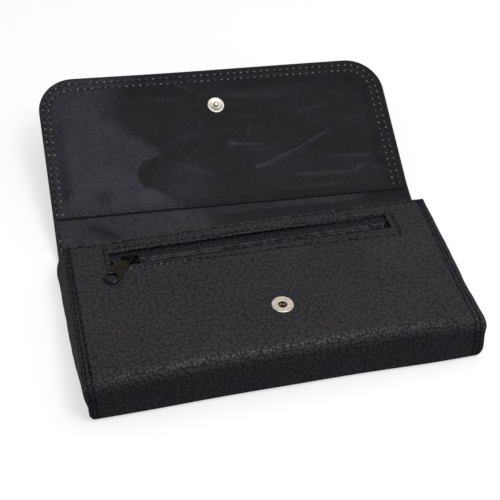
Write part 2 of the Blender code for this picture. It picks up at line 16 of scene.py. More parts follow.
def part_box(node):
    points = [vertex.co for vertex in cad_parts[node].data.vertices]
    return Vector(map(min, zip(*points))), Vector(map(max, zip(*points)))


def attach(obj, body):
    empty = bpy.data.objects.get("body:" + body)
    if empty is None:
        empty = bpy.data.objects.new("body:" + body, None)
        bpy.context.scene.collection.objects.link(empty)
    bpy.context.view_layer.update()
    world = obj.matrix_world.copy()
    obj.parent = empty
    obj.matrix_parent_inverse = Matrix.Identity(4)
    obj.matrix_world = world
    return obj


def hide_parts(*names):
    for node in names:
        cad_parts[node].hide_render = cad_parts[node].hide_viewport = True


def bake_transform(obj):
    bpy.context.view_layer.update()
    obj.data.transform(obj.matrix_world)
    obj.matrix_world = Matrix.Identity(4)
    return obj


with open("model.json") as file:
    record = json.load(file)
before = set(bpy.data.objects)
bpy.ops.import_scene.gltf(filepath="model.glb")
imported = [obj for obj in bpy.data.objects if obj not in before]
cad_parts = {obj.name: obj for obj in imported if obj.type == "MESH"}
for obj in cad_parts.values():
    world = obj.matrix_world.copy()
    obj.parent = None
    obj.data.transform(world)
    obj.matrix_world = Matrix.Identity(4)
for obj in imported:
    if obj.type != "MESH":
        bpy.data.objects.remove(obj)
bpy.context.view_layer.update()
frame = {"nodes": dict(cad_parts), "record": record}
MM = 0.001

# -------- hand tools


def smooth(t):
    t = np.clip(t, 0, 1)
    return t * t * (3 - 2 * t)


def placed(name, data):
    """A new object in the scene."""
    thing = bpy.data.objects.new(name, data)
    bpy.context.scene.collection.objects.link(thing)
    return thing


def select_only(piece):
    bpy.ops.object.select_all(action="DESELECT")
    piece.select_set(True)
    bpy.context.view_layer.objects.active = piece


def lines(*stops):
    """Places of grid lines: (place, steps to the next), and the last place."""
    found = [np.linspace(a[0], b[0], a[1] + 1)[:-1] for a, b in zip(stops, stops[1:])]
    return np.concatenate(found + [[stops[-1][0]]])


def cloth(name, across, along, place, hole=None, flip=False, cut=None, **shares):
    """A grid with its lines where they are asked for, laid in shape by place.

    Cut gives each point's place on the flat cloth. Shares, such as painted shine, are kept for the finish.
    """
    columns, rows = len(across) - 1, len(along) - 1
    bpy.ops.mesh.primitive_grid_add(x_subdivisions=columns, y_subdivisions=rows, size=1)
    piece = bpy.context.object
    piece.name = piece.data.name = name
    flat = np.empty(len(piece.data.vertices) * 3)
    piece.data.vertices.foreach_get("co", flat)
    flat = flat.reshape(-1, 3)
    u = across[np.rint((flat[:, 0] + 0.5) * columns).astype(int)]
    v = along[np.rint((flat[:, 1] + 0.5) * rows).astype(int)]
    points = np.stack(np.broadcast_arrays(*place(u, v)), 1)
    piece.data.vertices.foreach_set("co", (points * MM).ravel())
    corners = np.empty(len(piece.data.loops), int)
    piece.data.loops.foreach_get("vertex_index", corners)
    x, s = cut(u, v) if cut else (u, v)
    flat_place = np.stack([x[corners], s[corners]], 1) * MM
    piece.data.uv_layers[0].data.foreach_set("uv", flat_place.ravel())
    for key, share in shares.items():
        kept = piece.data.attributes.new(key, "FLOAT", "POINT")
        kept.data.foreach_set("value", np.clip(share(x, s), 0, 1).astype(np.float32))
    if hole:
        mesh = bmesh.new()
        mesh.from_mesh(piece.data)
        middles = [[np.mean([at[p.index] for p in face.verts]) for at in (u, v)] for face in mesh.faces]
        inside = [face for face, middle in zip(mesh.faces, middles) if hole(*middle)]
        bmesh.ops.delete(mesh, geom=inside, context="FACES")
        mesh.to_mesh(piece.data)
        mesh.free()
    if flip:
        piece.data.flip_normals()
    piece.data.update()
    return piece


def apply(piece, kind, **settings):
    """Adds a modifier, sets it and applies it."""
    select_only(piece)
    modifier = piece.modifiers.new(kind.lower(), kind)
    for key, value in settings.items():
        setattr(modifier, key, value)
    bpy.ops.object.modifier_apply(modifier=modifier.name)
    return piece


def thicken(piece, thickness, soft_edge=0.0):
    """Gives a sheet its thickness behind its face, and rounds its cut edges."""
    apply(piece, "SOLIDIFY", thickness=thickness * MM, offset=-1, use_even_offset=False)
    if soft_edge:
        apply(
            piece, "BEVEL", width=soft_edge * MM, segments=2, limit_method="ANGLE",
            angle_limit=math.radians(50), use_clamp_overlap=True,
        )
    return piece


def finish(piece, material, body, slot=None, stands_for=(), angle=40):
    """Smooth shading, material, the body that it rides on and the nodes that it stands for."""
    select_only(piece)
    bpy.ops.object.shade_smooth_by_angle(angle=math.radians(angle))
    piece.data.materials.clear()
    piece.data.materials.append(material)
    if body:
        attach(piece, body)
    if stands_for:
        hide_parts(*stands_for)
    return piece


def near(places, middle, width):
    """1 at the middle and 0 well away from it."""
    return np.exp(-(((places - middle) / width) ** 2))


def from_run(u, v, start, end):
    """Distance of each point from a straight run, and the share of the run before it."""
    (au, av), (bu, bv) = start, end
    du, dv = bu - au, bv - av
    t = np.clip(((u - au) * du + (v - av) * dv) / (du * du + dv * dv), 0, 1)
    return np.hypot(u - au - t * du, v - av - t * dv), t


def from_line(u, v, line):
    """Distance of each point from a line of straight runs."""
    return np.min([from_run(u, v, *run)[0] for run in zip(line, line[1:])], axis=0)


def along_line(line, pitch, start=0.5):
    """Places at an even pitch along a line of straight runs, each with its direction."""
    line = np.array(line, float)
    runs = np.diff(line, axis=0)
    lengths = np.hypot(*runs.T)
    reach = np.concatenate([[0], np.cumsum(lengths)])
    count = max(1, round(reach[-1] / pitch))
    places = (np.arange(count) + start) * reach[-1] / count
    run = np.clip(np.searchsorted(reach, places, side="right") - 1, 0, len(runs) - 1)
    share = (places - reach[run]) / lengths[run]
    return line[run] + runs[run] * share[:, None], runs[run] / lengths[run][:, None]


def stitches(name, line, surface, pitch, length, width, sink, material, body, slant=0.0, start=0.5):
    """A row of thread stitches on surface(u, v, lift), all alike, joined as one piece.

    Sink is how deep each lies in the surface, and slant how far it turns off the row.
    """
    bpy.ops.mesh.primitive_uv_sphere_add(segments=8, ring_count=5, radius=0.5)
    one = bpy.context.object
    points = np.empty(len(one.data.vertices) * 3)
    one.data.vertices.foreach_get("co", points)
    points = points.reshape(-1, 3)[:, [2, 0, 1]]
    points[:, 2] -= points[:, 0] ** 2
    shape = points * [length, width, width * 0.8]
    faces = [list(f.vertices) for f in one.data.polygons]
    bpy.data.objects.remove(one)
    made, joined = [], []

    def point(place, lift=0.0):
        return np.array(surface(*place, lift), float).ravel()

    for index, (place, way) in enumerate(zip(*along_line(line, pitch, start))):
        here = point(place)
        up, front = here - point(place, -1.0), point(place + way * 0.2) - here
        up, front = up / np.linalg.norm(up), front / np.linalg.norm(front)
        side = np.cross(up, front)
        turn = slant + 0.06 * math.sin(index * 2.4)
        cos, sin = math.cos(turn), math.sin(turn)
        axes = np.stack([front * cos + side * sin, side * cos - front * sin, up])
        joined.append(here - up * sink + shape @ axes)
        made += [[i + index * len(shape) for i in f] for f in faces]
    mesh = bpy.data.meshes.new(name)
    mesh.from_pydata(np.concatenate(joined) * MM, [], made)
    return finish(placed(name, mesh), material, body, angle=80)


def turned(name, rings, sides=56, squash=1.0):
    """A round piece raised from a disc, ring by ring: each ring is a radius and a height."""
    rings = [(radius, height * squash) for radius, height in rings]
    bpy.ops.mesh.primitive_circle_add(vertices=sides, radius=rings[0][0] * MM, fill_type="NGON")
    piece = bpy.context.object
    piece.name = piece.data.name = name
    bpy.ops.object.mode_set(mode="EDIT")
    bpy.ops.mesh.select_all(action="SELECT")
    bpy.ops.transform.translate(value=(0, 0, rings[0][1] * MM))
    for (before, low), (after, high) in zip(rings, rings[1:]):
        bpy.ops.mesh.extrude_region_move(TRANSFORM_OT_translate={"value": (0, 0, (high - low) * MM)})
        bpy.ops.transform.resize(value=(after / before, after / before, 1), center_override=(0, 0, 0))
    bpy.ops.mesh.select_all(action="SELECT")
    bpy.ops.mesh.normals_make_consistent(inside=False)
    bpy.ops.object.mode_set(mode="OBJECT")
    return piece


def seat(piece, surface, u, v, lift=0.0, under=False, turn=0.0):
    """Stands a piece made at the origin on a surface, or under it, square to it."""

    def at(du, dv, up=0.0):
        return Vector([float(c) for c in surface(u + du, v + dv, lift + up)])

    across = at(2, 0) - at(-2, 0)
    off = across.cross(at(0, 2) - at(0, -2)).normalized()
    if (off.dot(at(0, 0, 1) - at(0, 0)) < 0) != under:
        off = -off
    across = (across - off * across.dot(off)).normalized()
    matrix = Matrix((across, off.cross(across), off)).transposed().to_4x4()
    matrix.translation = at(0, 0) * MM
    piece.data.transform(matrix @ Matrix.Rotation(turn, 4, "Z"))
    return piece


def close_tube(piece):
    """Joins the edges of a sheet that was rolled up and caps its ends."""
    mesh = bmesh.new()
    mesh.from_mesh(piece.data)
    bmesh.ops.remove_doubles(mesh, verts=mesh.verts, dist=0.001 * MM)
    bmesh.ops.holes_fill(mesh, edges=mesh.edges)
    bmesh.ops.recalc_face_normals(mesh, faces=mesh.faces)
    mesh.to_mesh(piece.data)
    mesh.free()


def refined(node, name, edge):
    """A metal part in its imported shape, with its flat faces made whole and its edges rounded."""
    piece = placed(name, frame["nodes"][node].data.copy())
    piece.data.name = name
    select_only(piece)
    bpy.ops.object.mode_set(mode="EDIT")
    bpy.ops.mesh.select_all(action="SELECT")
    bpy.ops.mesh.remove_doubles(threshold=2e-6)
    bpy.ops.mesh.dissolve_limited(angle_limit=math.radians(2))
    bpy.ops.object.mode_set(mode="OBJECT")
    return apply(
        piece, "BEVEL", width=edge * MM, segments=3, limit_method="ANGLE", angle_limit=math.radians(30)
    )


# -------- finishes


class Value:
    """An output socket that takes part in sums."""

    def __init__(self, finish, socket):
        self.finish, self.socket = finish, socket

    def sum(self, operation, *others):
        return self.finish.node("ShaderNodeMath", {"operation": operation}, *(self, *others))

    def __add__(self, other):
        return self.sum("ADD", other)

    def __mul__(self, other):
        return self.sum("MULTIPLY", other)

    def __sub__(self, other):
        return self.sum("SUBTRACT", other)

    def __rsub__(self, other):
        return self.finish.node("ShaderNodeMath", {"operation": "SUBTRACT"}, other, self)

    __radd__, __rmul__ = __add__, __mul__

    def at_least(self, other):
        return self.sum("MAXIMUM", other)

    def between(self, low, high):
        """0 below low, 1 above high, and smooth between."""
        return self.finish.node(
            "ShaderNodeMapRange", {"interpolation_type": "SMOOTHSTEP"}, self, low, high, 0.0, 1.0
        )


class Finish:
    """A material of nodes on a Principled shader."""

    def __init__(self, name, **constants):
        self.material = bpy.data.materials.new(name)
        self.material.use_nodes = True
        self.tree = self.material.node_tree
        self.shader = next(n for n in self.tree.nodes if n.type == "BSDF_PRINCIPLED")
        for key, value in constants.items():
            self.feed(key.replace("_", " ").title().replace("Ior", "IOR"), value)

    def feed(self, name, value, node=None):
        socket = (node or self.shader).inputs[name]
        if isinstance(value, Value):
            self.tree.links.new(value.socket, socket)
        else:
            socket.default_value = value

    def node(self, kind, settings=None, *values, out=0, **named):
        node = self.tree.nodes.new(kind)
        for key, value in (settings or {}).items():
            setattr(node, key, value)
        for index, value in enumerate(values):
            self.feed(index, value, node)
        for key, value in named.items():
            self.feed(key, value, node)
        return Value(self, node.outputs[out])

    def where(self, stretch=(1, 1, 1), flat=False):
        """Object coordinates, or the flat cloth's own, stretched."""
        place = self.node("ShaderNodeTexCoord", out="UV" if flat else "Object")
        return self.node("ShaderNodeMapping", None, place, (0, 0, 0), (0, 0, 0), stretch)

    def noise(self, place, scale, detail=2.0, rough=0.5):
        settings = {"Scale": scale, "Detail": detail, "Roughness": rough}
        return self.node("ShaderNodeTexNoise", None, Vector=place, **settings)

    def waves(self, place, direction, scale, warp):
        """Threads or ribs that run one way."""
        settings = {"bands_direction": direction}
        return self.node("ShaderNodeTexWave", settings, Vector=place, Scale=scale, Distortion=warp)

    def pebbles(self, place, scale):
        """Distance from the middle of the nearest pebble, in pebbles."""
        settings = {"voronoi_dimensions": "2D"}
        return self.node("ShaderNodeTexVoronoi", settings, Vector=place, Scale=scale, Randomness=0.78)

    def kept(self, name):
        """A share kept at each point of the piece."""
        return self.node("ShaderNodeAttribute", {"attribute_name": name}, out="Fac")

    def tint(self, share, dark, light):
        """A colour between two, by a share."""
        mix = self.node("ShaderNodeMix", {"data_type": "RGBA"}, share, out=2)
        for socket, colour in ((6, dark), (7, light)):
            self.feed(socket, (*colour, 1), mix.socket.node)
        return mix

    def relief(self, height, depth, strength=1.0):
        self.feed("Normal", self.node("ShaderNodeBump", None, strength, depth * MM, Height=height))

    def shifted(self, place, by, amount):
        """A place moved about by a noise."""
        noise = self.node("ShaderNodeTexNoise", None, out="Color", Vector=place, Scale=by, Detail=1.0)
        moved = self.node("ShaderNodeVectorMath", {"operation": "SCALE"}, noise, Scale=amount * MM)
        return self.moved(place, moved)

    def moved(self, place, by):
        return self.node("ShaderNodeVectorMath", {"operation": "ADD"}, place, by)


def leather(name, dark, light, cell=1.75, depth=0.5, rough=0.5, painted_shade_span=None):
    """Black leather: round pebbles that follow the cut, with painted light on them: each pebble is
    lighter on one side and darker round its edge.

    It has painted shade along its seams, more gloss and a small painted highlight where it is rubbed
    smooth, and painted shade over the span given for it.
    """
    f = Finish(name, specular_ior_level=0.04, coat_roughness=0.34)
    cut = f.where(flat=True)
    scale, fine_scale = 1000 / cell, 2300 / cell
    place = f.shifted(cut, 420, 0.3)
    dome = f.pebbles(place, scale)
    # the same pebbles moved a little along the cut: the difference paints light on one side of each
    ahead = f.pebbles(f.moved(place, (0, cell * 0.16 * MM, 0)), scale)
    crinkle = f.pebbles(f.shifted(cut, 420, 0.2), fine_scale)
    spot = 1.0 - dome.between(0.0, 0.52)
    worn = f.noise(f.where(), 30, 3.0)
    uneven = f.noise(cut, 260, 2.0)
    seam, polish = f.kept("seam"), f.kept("polish")
    # painted light: pebble middles and one side lighter, edges darker; worn and uneven are random tone
    share = 0.5 + spot * 0.3 + (dome - ahead) * 1.3 + (worn - 0.5) * 0.35 + (uneven - 0.5) * 0.3
    # painted shade along the seams, and a small painted highlight where the leather is rubbed smooth
    share = share - seam * 0.5 + polish * 0.06
    # painted shade: darker over the given span, on the cover its near face below the ridge
    if painted_shade_span:
        down = f.node("ShaderNodeSeparateXYZ", None, cut, out=1)
        start, end = (v * MM for v in painted_shade_span)
        lit = 1.0 - down.between(start, start + 7 * MM) * (1.0 - down.between(end - 2 * MM, end))
        share = share * (0.38 + lit * 0.62)
    f.feed("Base Color", f.tint(share.at_least(0.0), dark, light))
    f.feed("Roughness", rough + 0.2 - spot * 0.2 + (worn - 0.5) * 0.12)
    f.feed("Coat Weight", (0.04 + polish * 0.5) * spot)
    height = (1.0 - dome * dome * 1.9) * (0.7 + uneven * 0.6) - crinkle * crinkle * 0.25
    f.relief(height + f.noise(cut, 3000) * 0.04, depth)
    return f.material


def satin(name, dark, light):
    """Black satin: a fine weave, with a painted highlight where its painted shine is high."""
    f = Finish(name, specular_ior_level=0.16)
    cut = f.where(flat=True)
    weave = f.waves(cut, "X", 330.0, 0.6).at_least(f.waves(cut, "Y", 420.0, 0.6))
    # painted highlight on the satin, kept at each point of the piece
    broad = f.kept("sheen")
    speck = f.noise(f.where((0.4, 1.3, 1), flat=True), 1300, 2.0, 0.6)
    patch = f.noise(cut, 140, 3.0)
    cloud = f.noise(f.shifted(cut, 500, 1.5), 480, 2.0)
    mottle = (speck - 0.5) * 1.7 + (patch - 0.5) * 0.5 + (cloud - 0.5) * 0.5
    share = broad * 0.86 + mottle * (0.65 + broad * 1.5) + (weave - 0.5) * 0.08 + 0.06
    f.feed("Base Color", f.tint(share, dark, light))
    f.feed("Roughness", 0.6 - broad * 0.12 + (speck - 0.5) * 0.1)
    f.relief(weave * 0.5 + speck * 0.3, 0.05, 0.5)
    return f.material


def metal(name, colour, rough, scratch=0.1, grain=0.02):
    """Plated metal with fine scuffs and a slight stain."""
    f = Finish(name, metallic=1.0)
    scuffs = f.noise(f.where((1, 6, 2)), 900, 4.0, 0.7)
    stain = f.noise(f.where(), 700, 3.0)
    f.feed("Base Color", f.tint(stain.between(0.3, 0.7), [c * 0.7 for c in colour], colour))
    f.feed("Roughness", rough + (scuffs - 0.5) * scratch)
    f.relief(scuffs * 0.5 + f.noise(f.where(), 1600, 2.0), grain, 0.6)
    return f.material


def thread(name, colour, rough):
    """Twisted thread, brighter in some places than in others."""
    f = Finish(name, roughness=rough, specular_ior_level=0.3)
    ply = f.waves(f.where(), "DIAGONAL", 900.0, 1.0)
    tone = ply * 0.3 + f.noise(f.where(), 260, 1.0).between(0.38, 0.62) * 0.85
    f.feed("Base Color", f.tint(tone, [c * 0.2 for c in colour], colour))
    f.relief(ply, 0.05, 0.8)
    return f.material


def woven(name, dark, light):
    """Zip tape: fine ribs along its length and a herringbone across."""
    f = Finish(name, specular_ior_level=0.14)
    cut = f.where(flat=True)
    ribs = f.waves(cut, "Y", 260.0, 0.3)
    twill = f.waves(cut, "DIAGONAL", 210.0, 0.4)
    fuzz = f.noise(cut, 1500, 3.0)
    fleck = f.noise(cut, 950, 1.0)
    height = ribs * 0.5 + twill * 0.15 + fuzz * 0.3
    f.feed("Base Color", f.tint(height * 0.45 + (fleck - 0.5) * 2.2 + 0.1, dark, light))
    f.feed("Roughness", 0.62 + (fuzz - 0.5) * 0.2)
    f.relief(height, 0.12, 0.9)
    return f.material


def plain_board(name, colour):
    f = Finish(name)
    fibre = f.noise(f.where((1, 3, 1)), 800, 4.0, 0.7)
    f.feed("Base Color", f.tint(fibre, [c * 0.7 for c in colour], colour))
    f.feed("Roughness", 0.75 + fibre * 0.15)
    f.relief(fibre, 0.08, 0.6)
    return f.material


# the light end of the leather's colour, which carries its painted pebble light
PEBBLE_TOP = (0.0595, 0.0565, 0.0605)
LEATHER = leather("black_pebbled_leather", (0.004, 0.0038, 0.0072), PEBBLE_TOP)
# the cover's leather: painted shade on its near face, and a bluer dark colour, a painted reflection that shows
# most there
BODY_LEATHER_PAINTED_SHADE = leather("body_leather_painted_near_shade", (0.0052, 0.0048, 0.0098), PEBBLE_TOP, painted_shade_span=(84.5, 113))
GUSSET = leather(
    "gusset_leather", (0.004, 0.0036, 0.0034), (0.052, 0.048, 0.045), cell=1.5, depth=0.4, rough=0.6
)
TRIM = leather("slot_leather", (0.008, 0.0076, 0.0076), (0.045, 0.0425, 0.0425), cell=0.9, depth=0.14)
SATIN = satin("flap_satin", (0.0048, 0.0046, 0.0072), (0.0305, 0.0292, 0.0408))
STRIP = satin("strip_satin", (0.0055, 0.0053, 0.0078), (0.0305, 0.0295, 0.0405))
INNER = satin("inner_satin", (0.009, 0.0088, 0.0105), (0.024, 0.0235, 0.029))
TAPE = woven("zip_tape", (0.002, 0.002, 0.003), (0.037, 0.037, 0.05))
# a darker copy of the tape: painted shadow under the coil
TAPE_PAINTED_SHADOW = woven("lower_zip_tape_painted_shadow", (0.0012, 0.0012, 0.0016), (0.009, 0.009, 0.012))
COIL = thread("zip_coil", (0.15, 0.148, 0.162), 0.3)
BLACK_THREAD = thread("black_thread", (0.0022, 0.0021, 0.0022), 0.7)
# black thread made pale: painted highlights where its rows catch the light
THREAD_PAINTED_HIGHLIGHT = thread("black_thread_painted_highlight", (0.075, 0.072, 0.075), 0.42)
# bright thread: painted glints standing in for light caught by black thread
THREAD_PAINTED_GLINT = thread("thread_painted_glint", (0.21, 0.202, 0.188), 0.4)
CORD = thread("coil_cord", (0.0008, 0.0008, 0.0008), 0.9)
NICKEL = metal("nickel", (0.72, 0.67, 0.57), 0.4, 0.2, 0.09)
DULL_NICKEL = metal("dull_nickel", (0.9, 0.84, 0.72), 0.6, 0.2, 0.12)
GUNMETAL = metal("gunmetal", (0.055, 0.052, 0.044), 0.18)
BLACK_METAL = metal("blackened_metal", (0.018, 0.018, 0.018), 0.12)
STOP_METAL = metal("painted_stop", (0.02, 0.02, 0.02), 0.6)
# dark brown for the socket's floor and springs: painted shade inside the socket's hole
SOCKET_HOLE_PAINTED_SHADE = metal("socket_hole_painted_shade", (0.12, 0.07, 0.045), 0.35)
BOARD = plain_board("grey_board", (0.28, 0.25, 0.21))

# -------- body

HALF = 95.0
FAR_Y, RIDGE_Y, FOOT_Y = 44.0, -38.0, -41.5
FAR_HEIGHT, NEAR_RISE = 19.1, 4.2
RIDGE_ROUND, FOOT_ROUND = 6.0, 2.5
COVER_THICK = 1.2

# lengths along the cover, from the far edge over the ridge, down the near face and along the back
FRONT = FAR_Y - RIDGE_Y
FACE, BACK = 16.0, 85.5
RIDGE_END = FRONT + RIDGE_ROUND * math.pi / 2
FACE_END = RIDGE_END + FACE
FOOT_END = FACE_END + FOOT_ROUND * math.pi / 2
BACK_END = FOOT_END + BACK

# half widths at places along the cover
LEFT_EDGE = (
    [0, 85, RIDGE_END, FACE_END - 2, FOOT_END - 1, FOOT_END + 8, FOOT_END + 35, BACK_END],
    [92.9, 95.9, 95.5, 94.8, 92.4, 94.8, 96.3, 96.1],
)
RIGHT_EDGE = (
    [0, 40, 62, 85, RIDGE_END, FACE_END - 4, FACE_END - 1, FOOT_END - 1, FOOT_END + 8, BACK_END],
    [94.5, 94.1, 93.4, 94.2, 93.7, 95.0, 94.6, 92.6, 94.0, 94.5],
)

# window, socket and rows of stitches, as places across and along the cover
WINDOW = (-73.5, 70.5, FAR_Y - 35.6, FAR_Y - 25.6)
SOCKET = (1.0, 59.8)
FAR_ROW = [(-93.5, 1.45), (0, 1.35), (93.5, 1.4)]
ZIP_ROW = [(-75.6, 5.6), (0, 6.6), (73.8, 8.0), (73.4, 24.2), (0, 22.4), (-75.4, 20.4), (-75.6, 5.6)]

# each row, and how wide its thread is, how wide its line of painted shade and how deep its dip
BODY_ROWS = {
    "left": ([(-92.5, 0.8), (-91.6, 85), (-91.4, 107), (-91.4, 122), (-91.6, 195.6)], 0.8, 0.55, 0.7),
    "left_outer": ([(-94.0, 0.8), (-93.8, 85), (-93.6, 107)], 0.8, 0.5, 0.55),
    "right": ([(91.4, 0.8), (89.7, 85), (89.4, 107), (91.2, 122), (91.4, 195.6)], 0.65, 0.35, 0.7),
    "right_outer": ([(92.8, 0.8), (92.1, 85), (91.9, 107)], 0.65, 0.35, 0.55),
    "far": (FAR_ROW, 0.7, 0.45, 0.4),
    "zip": (ZIP_ROW, 0.7, 0.45, 0.5),
}


def front_height(x, y):
    """Height of the front, which rises towards the near face and is puffed in its middle."""
    share = (FAR_Y - y) / FRONT
    puff = 1.0 + 3.4 * share + 0.4 * np.sin(np.pi * np.clip(share, 0, 1))
    far_left = 1.7 * smooth((-x - 66) / 26) * smooth((y - 6) / 30)
    return FAR_HEIGHT + NEAR_RISE * share + far_left + puff * np.maximum(0, 1 - np.abs(x / HALF) ** 3.5)


def from_window(u, v):
    """Distance of each point from the zip's window, outwards."""
    left, right, low, high = WINDOW
    return np.maximum(np.maximum(left - u, u - right), np.maximum(low - v, v - high))


def rounded(gap, width=0.9):
    """How far a rounded edge has dropped, from 1 at the edge to 0 at its width."""
    return 1 - np.sqrt(1 - np.clip(1 - gap / width, 0, 1) ** 2)


def body_seam_shade(u, v):
    """Where painted shade darkens the cover along its rows of stitches: 1 on them and 0 off them."""
    return sum(near(from_line(u, v, row), 0, width) for row, _, width, _ in BODY_ROWS.values())


def body_polish(u, v):
    """How much the cover is rubbed smooth and glossy, with a small painted highlight: ridge, rim of the window
    and far edge.
    """
    rims = 0.25 * near(from_window(u, v), 1.0, 0.9) + 0.7 * near(v, 0, 0.8)
    return (0.8 - 0.2 * smooth(u / 60)) * near(v, 86, 4.0) + rims


def body_skin(u, v, lift=0.0):
    """A point of the cover: u across, v from the far edge over the ridge, down and along the back."""
    y = FAR_Y - np.clip(v, 0, FRONT)
    top = front_height(u, y)
    ridge = np.clip((v - FRONT) / (RIDGE_END - FRONT), 0, 1) * np.pi / 2
    face = np.clip((v - RIDGE_END) / FACE, 0, 1)
    foot = np.clip((v - FACE_END) / (FOOT_END - FACE_END), 0, 1) * np.pi / 2
    back = np.clip(v - FOOT_END, 0, BACK)
    centre = front_height(u, RIDGE_Y) - RIDGE_ROUND
    z = np.where(v <= FRONT, top, centre + RIDGE_ROUND * np.cos(ridge))
    z = np.where(v > RIDGE_END, centre + (FOOT_ROUND - centre) * face, z)
    z = np.where(v > FACE_END, FOOT_ROUND - FOOT_ROUND * np.sin(foot), z)
    y = y - RIDGE_ROUND * np.sin(ridge)
    y = np.where(v > FACE_END, FOOT_Y - FOOT_ROUND * np.cos(foot) + back, y)
    outwards = 0.55 + 1.25 * smooth((u - 10) / 70) + 0.45 * smooth((-u - 40) / 50)
    y = y - outwards * smooth((v - FRONT - 2) / (FACE_END - FRONT - 6)) * (1 - smooth((v - FOOT_END + 1) / 9))
    y = y - 1.2 * smooth((-u - 55) / 30) * (1 - smooth(v / 7))
    turn = ridge + foot
    shallow = 1 - smooth((v - FACE_END + 2) / 3) * (v < FOOT_END + 8)
    for row, _, _, depth in BODY_ROWS.values():
        lift = lift - depth * shallow * near(from_line(u, v, row), 0, 0.5)
    lift = lift + 0.4 * near(from_line(u, v, ZIP_ROW), 1.3, 0.8)
    lift = lift + 0.22 * near(from_line(u, v, FAR_ROW), 1.2, 0.7)
    edge = np.minimum(HALF - np.abs(u), np.minimum(v, BACK_END - v))
    lift = lift - 0.45 * rounded(edge) - 0.5 * rounded(from_window(u, v)) * (v < 60)
    ridge_waves = 0.26 * np.sin(u * 0.21 + 1.3 * np.sin(u * 0.07)) + 0.16 * np.sin(u * 0.53 + v * 0.3)
    ridge_waves = ridge_waves + 0.07 * np.sin(u * 1.3 + 2 * np.sin(u * 0.31)) * np.sin(v * 0.7 + 1)
    lift = lift + near(v, 88, 7) * ridge_waves
    lift = lift + 0.12 * np.sin(u * 0.09 + 0.7) * np.sin(v * 0.08) * (v < FOOT_END)
    y = y - lift * np.sin(turn)
    z = z + lift * np.cos(turn)
    edge_x = np.where(u < 0, np.interp(v, *LEFT_EDGE), np.interp(v, *RIGHT_EDGE))
    return u / HALF * edge_x, y, np.maximum(z, 0.02)


def make_body():
    left, right, low, high = WINDOW
    across = lines(
        (-HALF, 3), (-94.4, 13), (-90, 10), (-76, 6), (left, 100),
        (right, 6), (73.8, 10), (88, 16), (94.4, 3), (HALF,),
    )
    along = lines(
        (0, 4), (0.9, 4), (2.6, 8), (low, 10), (high, 8), (25, 40), (80, 14), (93, 10),
        (FACE_END, 5), (FOOT_END, 30), (BACK_END - 1, 3), (BACK_END,),
    )

    def hole(u, v):
        return from_window(u, v) < 0 or math.hypot(u - SOCKET[0], v - SOCKET[1]) < 2.6

    # the cover keeps shares for painted shade along its seams and for gloss with a small painted highlight
    piece = cloth(
        "body_leather", across, along, body_skin, hole, flip=True, seam=body_seam_shade, polish=body_polish
    )
    thicken(piece, COVER_THICK, 0.25)
    finish(piece, BODY_LEATHER_PAINTED_SHADE, "body", "cover_leather", ["cover_leather"])
    side_pitch, fine_pitch = 3.2, 3.0

    def row(name, line, pitch, length, width, sink, material, **turn):
        stitches(name, line, body_skin, pitch, length, width, sink, material, "body", **turn)

    for name in ("left", "right"):
        behind = BODY_ROWS[name][0][3:]
        row(f"{name}_seam_behind", behind, side_pitch, 2.3, 0.6, 0.1, BLACK_THREAD, slant=0.05)
    for name, (line, width, _, _) in BODY_ROWS.items():
        if name in ("far", "zip"):
            row(f"{name}_seam", line, fine_pitch, 2.0, width, 0.0, BLACK_THREAD, slant=0.12)
            # pale thread between the stitches: painted highlights on the far and zip rows
            row(f"{name}_seam_painted_highlights", line, fine_pitch, 0.8, 0.6, -0.06, THREAD_PAINTED_HIGHLIGHT, start=0.0)
        else:
            row(f"{name}_seam", line[:3], side_pitch, 2.3, width, 0.0, BLACK_THREAD, slant=0.05)
    # a few bright stitches: painted glints on the zip's row
    row("zip_seam_painted_glint", [(-66, 21.0), (-36, 21.5)], fine_pitch, 1.9, 0.7, -0.2, THREAD_PAINTED_GLINT, slant=0.12)


def make_gusset(name, side, node):
    """The strip that closes one side, slightly stuffed."""
    edge, outwards = (LEFT_EDGE, 0.85) if side < 0 else (RIGHT_EDGE, 1.55)
    low, inset, mean_height = 1.15, 0.55, 20

    def place(y, h):
        top = front_height(side * HALF, y) - 1.25
        round_ridge = np.sqrt(np.maximum(RIDGE_ROUND**2 - (y - RIDGE_Y) ** 2, 0))
        top = np.where(y < RIDGE_Y, top - RIDGE_ROUND + round_ridge, top)
        z = low + (top - low) * h
        upper = np.interp(FAR_Y - y, *edge)
        lower = np.interp(FOOT_END + y - FOOT_Y, *edge)
        x = lower + (upper - lower) * h - inset + 0.5 * np.sin(np.pi * h) ** 0.6
        x = x + 0.08 * np.sin(y * 0.33 + 4 * h) + 0.04 * np.sin(y * 0.8 - 3 * h)
        x = x + 0.8 * near(y, 41.5, 1.6) * near(h, 0.4, 0.3)
        return side * x, y - outwards * smooth((-y - 35) / 7.7) * smooth((1 - h) * 1.5), z

    heights = lines((0, 4), (0.1, 16), (0.9, 4), (1,))
    depths = lines((-42.95, 60), (43.6,))
    piece = cloth(name, depths, heights, place, flip=side > 0, cut=lambda y, h: (y, h * mean_height))
    thicken(piece, 1.0, 0.2)
    finish(piece, GUSSET, "body", "cover_leather", [node])


# -------- flap

FLAP_HALF, FLAP_END, CORNER = 95.5, 105.0, 19.5
HEM, HEM_SLOPE = 23.9, 0.008
STUD = (-1.6, 82.1)
COVER_FACE = -1.75
FLAP_LEATHER = 1.45
SATIN_THICK = 0.25
FLAP_PITCH, STRIP_PITCH = 3.75, 3.7

# the flap's plane from its hinge: its step across and rise along, and its lean, skew and twist
HINGE = (0.45, 45.008, 0.893)
ACROSS = 0.99909
RISE = (0.93592, 0.35096)
LEAN, SKEW, TWIST = 0.02953, 0.01681, 0.03924


